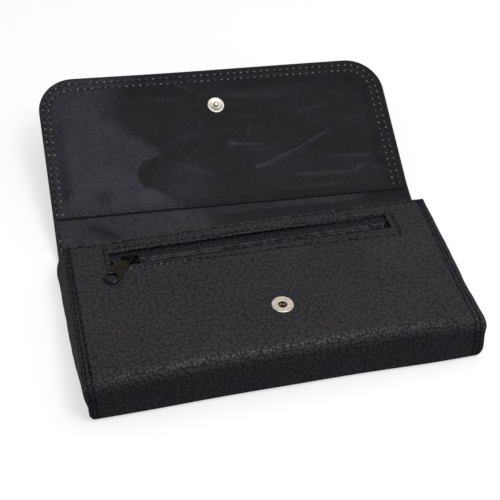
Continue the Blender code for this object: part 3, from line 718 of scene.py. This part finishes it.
def flap_face(x, s, lift=0.0):
    """A point over the flap's satin side: x across, s from the hinge, lift off the plane."""
    s = s - 0.55 * smooth((s - 70) / 35) * near(x, -20, 55)
    twisted = smooth(s / 30)
    bend = 1.2
    climb = np.logaddexp(0, s / bend) * bend
    px = HINGE[0] + x * ACROSS + np.maximum(s, 0) * LEAN
    py = HINGE[1] + np.where(s > 0, s * RISE[0], s) - x * SKEW * twisted
    pz = HINGE[2] + climb * RISE[1] - x * TWIST * twisted * np.where(x < 0, 0.94, 1.0)
    pz = pz + np.exp(-np.maximum(s, 0) / 5)
    tilt = smooth((s + 2) / 6)
    return px, py - lift * RISE[1] * tilt, pz + lift * (1 - (1 - RISE[0]) * tilt)


def flap_half(s, inset):
    """Half the flap's width at s, with its rounded corners, less an inset."""
    corner = CORNER - inset
    over = np.clip(s - (FLAP_END - CORNER), 0, corner)
    return FLAP_HALF - CORNER + np.sqrt(np.maximum(corner**2 - over**2, 0))


def from_outline(x, s):
    """Distance of each point from the flap's outline, inwards."""
    over = np.maximum(s - (FLAP_END - CORNER), 0)
    aside = np.maximum(np.abs(x) - (FLAP_HALF - CORNER), 0)
    straight = np.minimum(FLAP_HALF - np.abs(x), FLAP_END - s)
    return np.where((over > 0) & (aside > 0), CORNER - np.hypot(over, aside), straight)


def flap_lines(start, inset, steps):
    """Places of grid lines along the flap, close together round its corners."""
    turn = FLAP_END - CORNER
    straight = np.linspace(start, turn, steps)[:-1]
    return np.concatenate([straight, turn + (CORNER - inset) * np.sin(np.linspace(0, np.pi / 2, 26))])


def flap_cloth(name, start, inset, shape, steps=70, columns=90, slope=0.0, flip=False, **shares):
    """A sheet cut to the flap's outline, less an inset.

    Shape gives its lift from x, s and the distance inwards; slope tilts its near edge.
    """
    across = lines((-1, 5), (-0.985, 16), (-0.88, columns), (0.88, 16), (0.985, 5), (1,))

    def cut(share, s):
        x = share * flap_half(s, inset)
        return x, s - slope * x * (1 - smooth((s - start) / 20))

    def place(share, s):
        x, s = cut(share, s)
        return flap_face(x, s, shape(x, s, from_outline(x, s)))

    return cloth(name, across, flap_lines(start, inset, steps), place, flip=flip, cut=cut, **shares)


def hinge_cloth(name, start, inset, lift, flip=False, **shares):
    """A sheet over the first fold, from a start behind it to the middle of the spine."""
    across, along = lines((-FLAP_HALF + inset, 110), (FLAP_HALF - inset,)), lines((start, 28), (12,))
    return cloth(name, across, along, lambda x, s: flap_face(x, s, lift(x, s)), flip=flip, **shares)


def outline_row(left, top, right):
    """A line inside the flap's outline, at a distance from its left, far and right side."""
    start, turn = 25.0, np.linspace(0, np.pi / 2, 14)
    middle, far = FLAP_HALF - CORNER, FLAP_END - CORNER
    up = [(-middle - (CORNER - left) * math.cos(t), far + (CORNER - top) * math.sin(t)) for t in turn]
    down = [(middle + (CORNER - right) * math.cos(t), far + (CORNER - top) * math.sin(t)) for t in turn[::-1]]
    return [(-FLAP_HALF + left, start), *up, *down, (FLAP_HALF - right, start)]


OUTER_ROW = outline_row(2.0, 3.5, 4.4)
INNER_ROW = outline_row(5.0, 7.0, 7.9)


def hem_at(x):
    return HEM - HEM_SLOPE * x


def streak(x, s, line, width):
    """1 along a crease and 0 off it, with thin ends."""
    away, t = from_run(x, s, *line)
    return near(away, 0, width * (0.35 + 0.65 * np.sin(np.pi * t)))


def patch(x, s, cx, cs, rx, rs):
    """1 in the middle of an oval patch and 0 outside it."""
    return np.exp(-((((x - cx) / rx) ** 2 + ((s - cs) / rs) ** 2) ** 1.5))


# the creases in the pocket's satin: both ends, width and strength; each raises the satin and carries a painted
# highlight
CREASES = [
    ((-21.4, 97), (-12.4, 92), 0.9, 0.9), ((-40, 90), (-20, 86), 1.6, 0.3), ((2, 88), (35, 86), 2.2, 0.42),
    ((8, 76), (18, 73), 1.2, 0.5), ((12, 62), (16, 70), 1.0, 0.5), ((2, 58), (20, 57), 1.2, 0.6),
    ((0.5, 59.5), (5.5, 58.5), 2.4, 0.6), ((6, 54), (25, 54), 1.0, 0.35), ((14, 43), (40, 53), 1.2, 0.75),
    ((40, 53), (60, 63), 1.1, 0.7), ((12, 44), (22, 45), 1.1, 0.5), ((66, 67), (82, 70), 1.3, 0.35),
    ((56, 46), (78, 45), 1.2, 0.55), ((32, 37), (65, 36), 1.3, 0.55), ((65, 36), (75, 40), 1.1, 0.5),
    ((75, 40), (86, 35), 1.1, 0.5), ((-38, 54), (-8, 40), 0.8, 0.4), ((-80, 43), (-65, 41), 1.2, 0.5),
    ((-50, 33.5), (-40, 33.5), 2.0, 0.6), ((-30, 63), (-12, 66), 1.6, 0.3), ((25, 30), (60, 30), 1.4, 0.3),
    ((-84, 56), (-70, 62), 1.6, 0.3), ((40, 74), (62, 78), 1.5, 0.3), ((60, 88), (74, 80), 1.4, 0.3),
]
# where the painted highlight on the left of the satin ends: place along the flap, place across it, and how
# softly
LIGHT_END = (
    (24, 34, 40, 46, 52, 55, 60, 66, 72, 80, 88, 100),
    (-28, -40, -49, -50, -46, -36, -38, -46, -55, -62, -60, -50),
    (10, 4, 2, 1.5, 1.5, 2, 4, 6, 9, 10, 12, 14),
)


def flap_rows(x, s, width):
    """1 on the flap's two rows of stitches and 0 off them."""
    return near(from_line(x, s, OUTER_ROW), 0, width) + near(from_line(x, s, INNER_ROW), 0, width)


# where painted shade darkens the flap's leather along its rows of stitches
def flap_seam_shade(x, s):
    return flap_rows(x, s, 0.5) * (s > 24)


def pocket_sheen(x, s):
    """Painted shine on the pocket's satin: a painted highlight at the left and along its creases, painted shade
    in a few dark patches and along its stitched border.
    """
    end, soft = (np.interp(s, LIGHT_END[0], places) for places in LIGHT_END[1:])
    share = 0.8 * smooth((end - x) / (2 * soft) + 0.5)
    share = np.maximum(share, 0.34 * patch(x, s, -22, 39, 15, 12))
    share = share + 0.12 * patch(x, s, 30, 42, 40, 10) - 0.45 * patch(x, s, -69, 34, 5, 4)
    share = share - 0.45 * patch(x, s, -87.5, 46, 2.2, 22)
    for start, end, width, strength in CREASES:
        share = share + strength * 0.9 * streak(x, s, (start, end), width)
    share = share + 0.1 * np.sin(x * 0.09 + s * 0.05) * np.sin(s * 0.11 - x * 0.03)
    inside = smooth((from_outline(x, s) - pocket_margin(x, s)) / 1.2 + 0.5)
    return share * (0.75 + 0.25 * inside) - 0.02 * (1 - inside)


def pocket_margin(x, s):
    """How far inside the flap's outline the inner seam runs."""
    right = smooth((x - 40) / 45)
    return 5.4 + 2.0 * smooth((s - 60) / 35) * (1 - right) + 2.9 * right


def strip_sheen(x, s):
    """Painted shine on the satin between the hinge and the pocket's hem: painted highlights at the left and
    along the top, a streak of painted shade at the left.
    """
    left = 0.62 * smooth((-10 - x) / 12) - 0.5 * streak(x, s, ((-78, 19.5), (-64, 12.5)), 2.2)
    upper = 0.5 * smooth((s - 18) / 1.5) * smooth((x + 16) / 8) * smooth((74 - x) / 8)
    return left + upper + 0.12 * np.sin(x * 0.07 + s * 0.2)


def puff_of_pocket(x, s, d):
    """How the pocket stands off the flap: flat at its seams, puffed inside, drawn in at the stud."""
    room = smooth((d - pocket_margin(x, s)) / 7) * smooth((s - hem_at(x) - 3) / 10)
    waves = 0.18 * np.sin(x * 0.11 + 0.05 * s) * np.sin(s * 0.13 + 0.6) + 0.12 * np.sin(x * 0.05 - s * 0.21 + 2)
    creases = -0.3 * streak(x, s, ((-48, 38), (-40, 54)), 2.5)
    for start, end, width, strength in CREASES:
        creases = creases + 0.34 * strength * streak(x, s, (start, end), width * 1.15)
    away, round_stud = np.hypot(x - STUD[0], s - STUD[1]), np.arctan2(s - STUD[1], x - STUD[0])
    stars = 0.1 * np.sin(round_stud * 7 + 1) * near(away, 9, 4)
    puff = room * (0.78 + waves + creases + stars)
    at_stud = 0.4
    puff = at_stud + (puff - at_stud) * np.where(room > 0.5, smooth((away - 4.5) / 10), 1)
    band = 0.22 * near(from_line(x, s, OUTER_ROW), 1.5, 1.0) - 0.22 * flap_rows(x, s, 0.6)
    hem = 0.35 * smooth((hem_at(x) + 4.5 - s) / 3) - 0.2 * near(s, hem_at(x) + 1.9, 0.45)
    return 0.1 + puff + band + hem


def make_flap():
    piece = hinge_cloth("hinge_leather", -1.6, 0, lambda x, s: COVER_FACE + 0 * s, flip=True)
    thicken(piece, FLAP_LEATHER, 0.2)
    finish(piece, LEATHER, None, "cover_leather", ["spine_leather", "spine_fold_strip"])
    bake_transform(piece)

    def hinge_lift(x, s):
        return 0.02 + smooth(-s / 3) + 0.1 * np.sin(x * 0.13 + s * 0.3) * smooth((s - 2) / 4)

    # painted shine on the strip of satin at the hinge
    piece = hinge_cloth("hinge_satin", -3.4, 1.6, hinge_lift, sheen=strip_sheen)
    thicken(piece, SATIN_THICK)
    finish(piece, STRIP, None, "satin", ["spine_lining"])
    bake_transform(piece)

    fold_start, fold_end = (Vector(flap_face(0, s, -0.8)) * MM for s in (20.4, 23.6))

    def leather_lift(x, s, d):
        return COVER_FACE + 0.9 * rounded(d, 1.2) + 0.3 * flap_rows(x, s, 0.6) * smooth((s - 23) / 3)

    piece = flap_cloth("flap_leather_skin", 12, 0, leather_lift, 76, flip=True, seam=flap_seam_shade)
    thicken(piece, FLAP_LEATHER, 0.25)
    finish(piece, LEATHER, None, "cover_leather", ["flap_leather", "flap_fold_strip"])
    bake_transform(piece)

    def lining_lift(x, s, d):
        strip = smooth((s - 12) / 3) * smooth((hem_at(x) - 1 - s) / 4)
        wave = strip * smooth(d / 8) * (0.3 + 0.22 * np.sin(x * 0.09 + 1) + 0.12 * np.sin(x * 0.23 + s * 0.3))
        return 0.02 + wave * (1 - 0.7 * smooth((-x - 50) / 30)) - 0.2 * smooth((s - hem_at(x) + 0.8) / 1.5)

    piece = flap_cloth("flap_satin_lining", 12, 1.6, lining_lift, sheen=strip_sheen)
    thicken(piece, 0.2)
    finish(piece, STRIP, None, "satin", ["flap_lining"])
    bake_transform(piece)

    # the pocket's hem rolled over: a real edge, its blackness painted shadow at the pocket's mouth
    def roll_painted_shadow(x, across):
        radius = 0.62
        s = hem_at(x) + across * radius
        return flap_face(x, s, 0.12 + radius * np.sqrt(np.maximum(1 - across**2, 0)))

    half_round = np.sin(np.linspace(-np.pi / 2, np.pi / 2, 9))
    hem = cloth("hem_roll_painted_shadow", lines((-93.6, 100), (93.6,)), half_round, roll_painted_shadow)
    # black thread's colour: painted shadow at the pocket's mouth
    finish(thicken(hem, SATIN_THICK), BLACK_THREAD, "flap", "satin")

    # the pocket's satin, with painted highlights and painted shade kept at each point
    piece = flap_cloth(
        "flap_pocket_satin", HEM, 1.3, puff_of_pocket, 110, columns=230, slope=HEM_SLOPE, sheen=pocket_sheen
    )
    thicken(piece, SATIN_THICK)
    finish(piece, SATIN, "flap", "satin", ["flap_pocket"])

    def over_pocket(x, s, lift):
        return flap_face(x, s, lift + puff_of_pocket(x, s, from_outline(x, s)))

    def outside(x, s, lift):
        return flap_face(x, s, -lift + leather_lift(x, s, from_outline(x, s)))

    def over_strip(x, s, lift):
        return flap_face(x, s, lift + 0.02)

    for name, row in (("outer", OUTER_ROW), ("inner", INNER_ROW)):
        for side, end in (("left", row[0][0]), ("right", row[-1][0])):
            strip = [(end, 2.5), (end, 18.5)], over_strip, STRIP_PITCH
            stitches(f"strip_{name}_seam_{side}", *strip, 2.8, 0.7, 0.0, BLACK_THREAD, "spine")
            # bright thread: painted glints on the strip's rows
            stitches(f"strip_{name}_loops_{side}", *strip, 1.5, 0.8, 0.0, THREAD_PAINTED_GLINT, "spine", 0.3, 0.0)
        seam, back = (row, over_pocket, FLAP_PITCH), (row, outside, FLAP_PITCH)
        stitches(f"flap_{name}_seam", *seam, 2.9, 0.42, 0.02, BLACK_THREAD, "flap")
        # bright thread: painted glints on the flap's rows
        stitches(f"flap_{name}_seam_painted_highlights", *seam, 1.5, 0.85, -0.12, THREAD_PAINTED_GLINT, "flap", 0.3)
        # pale thread on the outside too: painted highlights
        stitches(f"flap_{name}_seam_outside", *back, 3.2, 0.6, 0.05, THREAD_PAINTED_HIGHLIGHT, "flap")
    hem_seam = [(x, hem_at(x) + 1.9) for x in (-92, 92)], over_pocket, 2.7
    stitches("hem_seam", *hem_seam, 2.0, 0.5, 0.0, BLACK_THREAD, "flap")
    # pale thread: painted highlights on the hem's row
    stitches("hem_seam_painted_highlights", *hem_seam, 0.7, 0.55, -0.06, THREAD_PAINTED_HIGHLIGHT, "flap", start=0.0)


# -------- metal


def make_press_stud():
    """The stud with its cap on the flap, and the socket with its spring on the front."""
    rings = [
        (4.2, 0), (4.55, 0.12), (4.72, 0.4), (4.62, 0.7), (4.3, 0.9), (3.8, 0.9), (3.3, 0.78), (2.8, 0.64),
        (2.3, 0.52), (1.8, 0.44), (1.4, 0.5), (1.2, 0.9), (1.25, 1.3), (1.44, 1.7), (1.5, 2.0), (1.35, 2.35),
        (0.9, 2.56), (0.4, 2.62),
    ]
    piece = seat(turned("stud", rings, squash=0.92), flap_face, *STUD, lift=0.3)
    finish(piece, NICKEL, "flap", "nickel", ["snap_stud"], 60)
    rings = [
        (4.9, 0), (5.35, 0.1), (5.5, 0.32), (5.35, 0.52), (4.8, 0.75), (3.6, 0.95), (2, 1.06), (0.6, 1.1),
    ]
    piece = seat(turned("cap", rings), flap_face, *STUD, lift=-1.74, under=True)
    finish(piece, NICKEL, "flap", "nickel", ["snap_cap"], 60)
    rings = [
        (2.9, -2.6), (3.0, -1), (3.0, 0.02), (4.7, 0.03), (5.0, 0.08), (5.2, 0.25), (5.24, 0.45), (5.1, 0.64),
        (4.8, 0.76), (4.5, 0.78), (4.3, 0.72), (4.0, 0.7), (3.2, 0.76), (2.6, 0.8), (2.38, 0.76), (2.2, 0.6),
        (2.12, 0.3), (2.1, -2.2), (0.5, -2.25),
    ]
    piece = seat(turned("socket", rings, squash=0.8), body_skin, *SOCKET, lift=-0.15)
    finish(piece, DULL_NICKEL, "body", "nickel", ["snap_socket"], 60)
    # the socket's floor and springs, dark brown: painted shade inside the socket's hole
    piece = turned("socket_floor", [(2.05, -2.0), (1.9, -1.9), (1, -1.92), (0.3, -1.94)], 24)
    finish(seat(piece, body_skin, *SOCKET), SOCKET_HOLE_PAINTED_SHADE, "body", "nickel")
    for name, off in (("near", -1.6), ("far", 1.6)):
        wire = turned(f"socket_spring_{name}", [(0.2, -2.15), (0.26, -2.05), (0.26, 2.05), (0.2, 2.15)], 10)
        aside = Matrix.Translation((0, off * MM, -0.2 * MM))
        wire.data.transform(aside @ Matrix.Rotation(math.pi / 2, 4, "Y"))
        finish(seat(wire, body_skin, *SOCKET, turn=0.5), SOCKET_HOLE_PAINTED_SHADE, "body", "nickel")


def make_puller():
    """The slider with its crown, and the tab with a rolled rim round its hole."""
    finish(refined("zip_slider", "slider_metal", 0.2), BLACK_METAL, "slider", "gunmetal", ["zip_slider"], 35)
    finish(refined("pull_tab", "tab_metal", 0.22), GUNMETAL, "tab", "gunmetal", ["pull_tab"], 35)
    bpy.ops.mesh.primitive_torus_add(
        major_radius=3.32 * MM, minor_radius=0.56 * MM, major_segments=48, minor_segments=12
    )
    rim = bpy.context.object
    rim.name = rim.data.name = "tab_rim"
    lift = next(joint for joint in frame["record"]["behaviour"]["joints"] if joint["name"] == "pull_lift")
    rod = Vector(lift["axis"]).normalized()
    faces = frame["nodes"]["pull_tab"].data.polygons
    off = sum((face.normal * face.area for face in faces if face.normal.z > 0.9), Vector()).normalized()
    along = off.cross(rod)
    matrix = Matrix((rod, along, off)).transposed().to_4x4()
    matrix.translation = Vector(lift["pos_m"]) - rod * 0.4 * MM - along * 15.4 * MM
    rim.data.transform(matrix @ Matrix.Diagonal((1, 1, 0.85, 1)))
    finish(rim, GUNMETAL, "tab", "gunmetal", angle=80)
    for side in ("left", "right"):
        piece = refined(f"zip_stop_{side}", f"stop_{side}_metal", 0.3)
        finish(piece, STOP_METAL, "body", "gunmetal", [f"zip_stop_{side}"], 35)
    finish(refined("snap_socket_back", "washer", 0.15), NICKEL, "body", "nickel", ["snap_socket_back"], 35)


# -------- inside


# painted shine on the inner satin: broad waves of painted highlight
def inner_sheen(x, y):
    return 0.4 + 0.25 * np.sin(x * 0.06 + y * 0.1) * np.sin(y * 0.09 - x * 0.02)


def over_box(name, node, columns, rise):
    """A sheet of inner satin over a node's box."""
    low, high = (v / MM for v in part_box(node))
    across, along = lines((low[0], columns), (high[0],)), lines((low[1], 24), (high[1],))
    return cloth(name, across, along, lambda x, y: (x, y, high[2] + rise(x, y)), sheen=inner_sheen)


def make_inside():
    """The card leaf with its slots, and the satin inside the back and under the front."""
    rows = (("card_slot_row_1", 35.05), ("card_slot_row_2", 23.55), ("card_slot_row_3", 12.05))
    for number, (node, far) in enumerate(rows, 1):
        low, high = (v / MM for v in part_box(node))

        def slot_top(x, y, lift=0.0):
            seam = near(x, 0, 0.7) + near(y, far - 3.0, 0.5)
            return x, y, high[2] - 0.04 + lift + 0.05 * np.sin(x * 0.2) * smooth((far - y) / 6) - 0.06 * seam

        across = lines((low[0] + 0.3, 50), (-2, 12), (2, 50), (high[0] - 0.3,))
        along = lines((low[1] + 0.2, 20), (far - 4, 10), (far - 1.5, 4), (far - 0.1,))
        piece = cloth(f"slot_leather_{number}", across, along, slot_top)
        thicken(piece, 0.22)
        finish(piece, TRIM, "leaf", "trim_leather", [node])
        row = [(low[0] + 3, far - 3.0), (high[0] - 3, far - 3.0)]
        stitches(f"slot_hem_{number}", row, slot_top, 2.6, 2.0, 0.34, 0.08, BLACK_THREAD, "leaf")

    piece = over_box("leaf_satin", "card_leaf", 50, lambda x, y: 0 * x)
    thicken(piece, 0.8, 0.3)
    finish(piece, INNER, "leaf", "satin", ["card_leaf"])

    piece = over_box("back_satin", "back_lining", 60, lambda x, y: 0.03 * np.sin(x * 0.15 + y * 0.1) - 0.02)
    thicken(piece, SATIN_THICK)
    finish(piece, INNER, "body", "satin", ["back_lining"])

    def hanging(x, y):
        seam = np.minimum(86 - np.abs(x), np.minimum(y + 30.5, 42 - y))
        hang = 5.0 * smooth(seam / 8) + 0.3 * np.sin(x * 0.08 + 1) * np.sin(y * 0.11) * smooth(seam / 12)
        return x, y, front_height(x, y) - 1.75 - hang

    across = lines((-86, 24), (-76, 40), (76, 24), (86,))
    along = lines((-30.5, 20), (-20.5, 20), (32, 20), (42,))
    piece = cloth("pocket_satin", across, along, hanging, sheen=inner_sheen)
    thicken(piece, SATIN_THICK)
    finish(piece, INNER, "body", "satin", ["zip_pocket_lining"])


# -------- zip

# the middle of the chain, and the slope that the tapes lie at
ZIP_MIDDLE = (29.3, 19.113)
ZIP_LEVEL, ZIP_FALL = 0.99719, 0.07498
COIL_PITCH = 1.1


def zip_point(x, across, up=0.0):
    """A point of the zip: across is away from the near side, up off the tapes."""
    y = ZIP_MIDDLE[0] + across * ZIP_LEVEL + up * ZIP_FALL
    return x, y, ZIP_MIDDLE[1] - across * ZIP_FALL + up * ZIP_LEVEL


def make_zip():
    """Both tapes, and on each the cord with the coil wound round it."""
    for name, side, node in (("upper", 1, "zip_tape_upper"), ("lower", -1, "zip_tape_lower")):
        low, high = (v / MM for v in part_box(node))

        def place(x, across):
            return zip_point(x, across, 0.26 + 0.04 * np.sin(x * 0.3) + 0.1 * near(np.abs(across), 3.4, 0.5))

        width = lines((1.3, 16), (10.0,)) if side > 0 else lines((-10.0, 16), (-1.3,))
        piece = cloth(f"tape_{name}_weave", lines((low[0], 100), (high[0],)), width, place)
        thicken(piece, 0.45, 0.1)
        # the lower tape takes the painted shadow under the coil
        finish(piece, TAPE if side > 0 else TAPE_PAINTED_SHADOW, "body", "zip_tape", [node])

        low, high = (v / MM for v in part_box(f"zip_coil_{name}"))
        middle, rise = side * 0.85, 0.1

        def core(x, around):
            return zip_point(x, middle + 0.55 * np.cos(around), rise + 0.32 * np.sin(around))

        turns_round = -np.linspace(0, 2 * np.pi, 9)
        piece = cloth(f"coil_{name}_cord", np.linspace(low[0], high[0], 40), turns_round, core)
        close_tube(piece)
        finish(piece, CORD, "body", "zip_coil")
        curve = bpy.data.curves.new(f"coil_{name}", "CURVE")
        curve.dimensions = "3D"
        curve.bevel_depth = 0.2 * MM
        curve.bevel_resolution = 1
        curve.use_fill_caps = True
        spline = curve.splines.new("POLY")
        turns = (high[0] - low[0]) / COIL_PITCH
        steps = int(turns * 10)
        spline.points.add(steps)
        for i, point in enumerate(spline.points):
            t = i / steps
            around = t * turns * 2 * math.pi + (math.pi if side < 0 else 0)
            x = low[0] + t * (high[0] - low[0])
            reach = middle + side * 0.64 * math.cos(around)
            point.co = (*(c * MM for c in zip_point(x, reach, rise + 0.44 * math.sin(around))), 1)
        coil = placed(f"coil_{name}_spiral", curve)
        select_only(coil)
        bpy.ops.object.convert(target="MESH")
        finish(coil, COIL, "body", "zip_coil", [f"zip_coil_{name}"], angle=70)


# -------- stage, light and camera


def make_stage():
    """A floor that shows white and keeps the wallet's shadow, and a pale surround."""
    bpy.ops.mesh.primitive_plane_add(size=6, location=(0, 0, -0.0002))
    floor = bpy.context.object
    floor.name = "floor"
    f = Finish("white_paper", roughness=0.9, specular_ior_level=0.1)
    f.feed("Base Color", (0.5, 0.5, 0.5, 1))
    rays = ("Is Camera Ray", "Is Glossy Ray", "Is Transmission Ray")
    direct, mirrored, through = (f.node("ShaderNodeLightPath", out=ray) for ray in rays)
    f.feed("Emission Color", f.tint(direct + mirrored + through, (0, 0, 0), (0.58, 0.58, 0.58)))
    f.feed("Emission Strength", 1.0)
    floor.data.materials.append(f.material)
    world = bpy.data.worlds.new("studio")
    bpy.context.scene.world = world
    world.use_nodes = True
    background = world.node_tree.nodes["Background"]
    background.inputs["Color"].default_value = (1, 1, 1, 1)
    background.inputs["Strength"].default_value = 0.36


def make_lamp(name, place, size, power):
    """A soft lamp that points at the wallet."""
    towards = (0, 0.05, 0.01)
    light = bpy.data.lights.new(name, "AREA")
    light.shape = "RECTANGLE"
    light.size, light.size_y = size
    light.energy = power
    lamp = placed(name, light)
    lamp.location = place
    lamp.rotation_euler = (Vector(place) - Vector(towards)).to_track_quat("Z", "Y").to_euler()


def make_camera():
    """The photograph's view: round the wallet, above it and slightly rolled."""
    turn, above, roll = (math.radians(v) for v in (-18.95, 47.92, 6.03))
    aim, distance = Vector((2.12, 42.32, 0)) * MM, 593.93 * MM
    round_wallet = Matrix.Rotation(turn, 4, "Z") @ Matrix.Rotation(math.pi / 2 - above, 4, "X")
    rolled = Matrix.Translation((0, 0, distance)) @ Matrix.Rotation(roll, 4, "Z")
    camera = placed("camera", bpy.data.cameras.new("camera"))
    camera.data.lens, camera.data.sensor_width = 83.05, 36
    camera.matrix_world = Matrix.Translation(aim) @ round_wallet @ rolled
    bpy.context.scene.camera = camera


make_camera()
make_stage()
make_lamp("overhead", (0.16, -0.02, 0.9), size=(0.8, 0.6), power=3.1)
make_lamp("key", (0.22, -0.31, 0.9), size=(0.26, 0.34), power=2.3)
make_lamp("left_window", (-0.9, 0.1, 0.6), size=(0.6, 0.6), power=0.6)
make_body()
make_gusset("gusset_left", -1, "left_side_wall")
make_gusset("gusset_right", 1, "right_side_wall")
make_flap()
make_inside()
make_zip()
make_press_stud()
make_puller()
for name in ("base_board", "back_board"):
    for slot in frame["nodes"][name].material_slots:
        slot.material = BOARD

bpy.context.scene.view_settings.view_transform = "Standard"
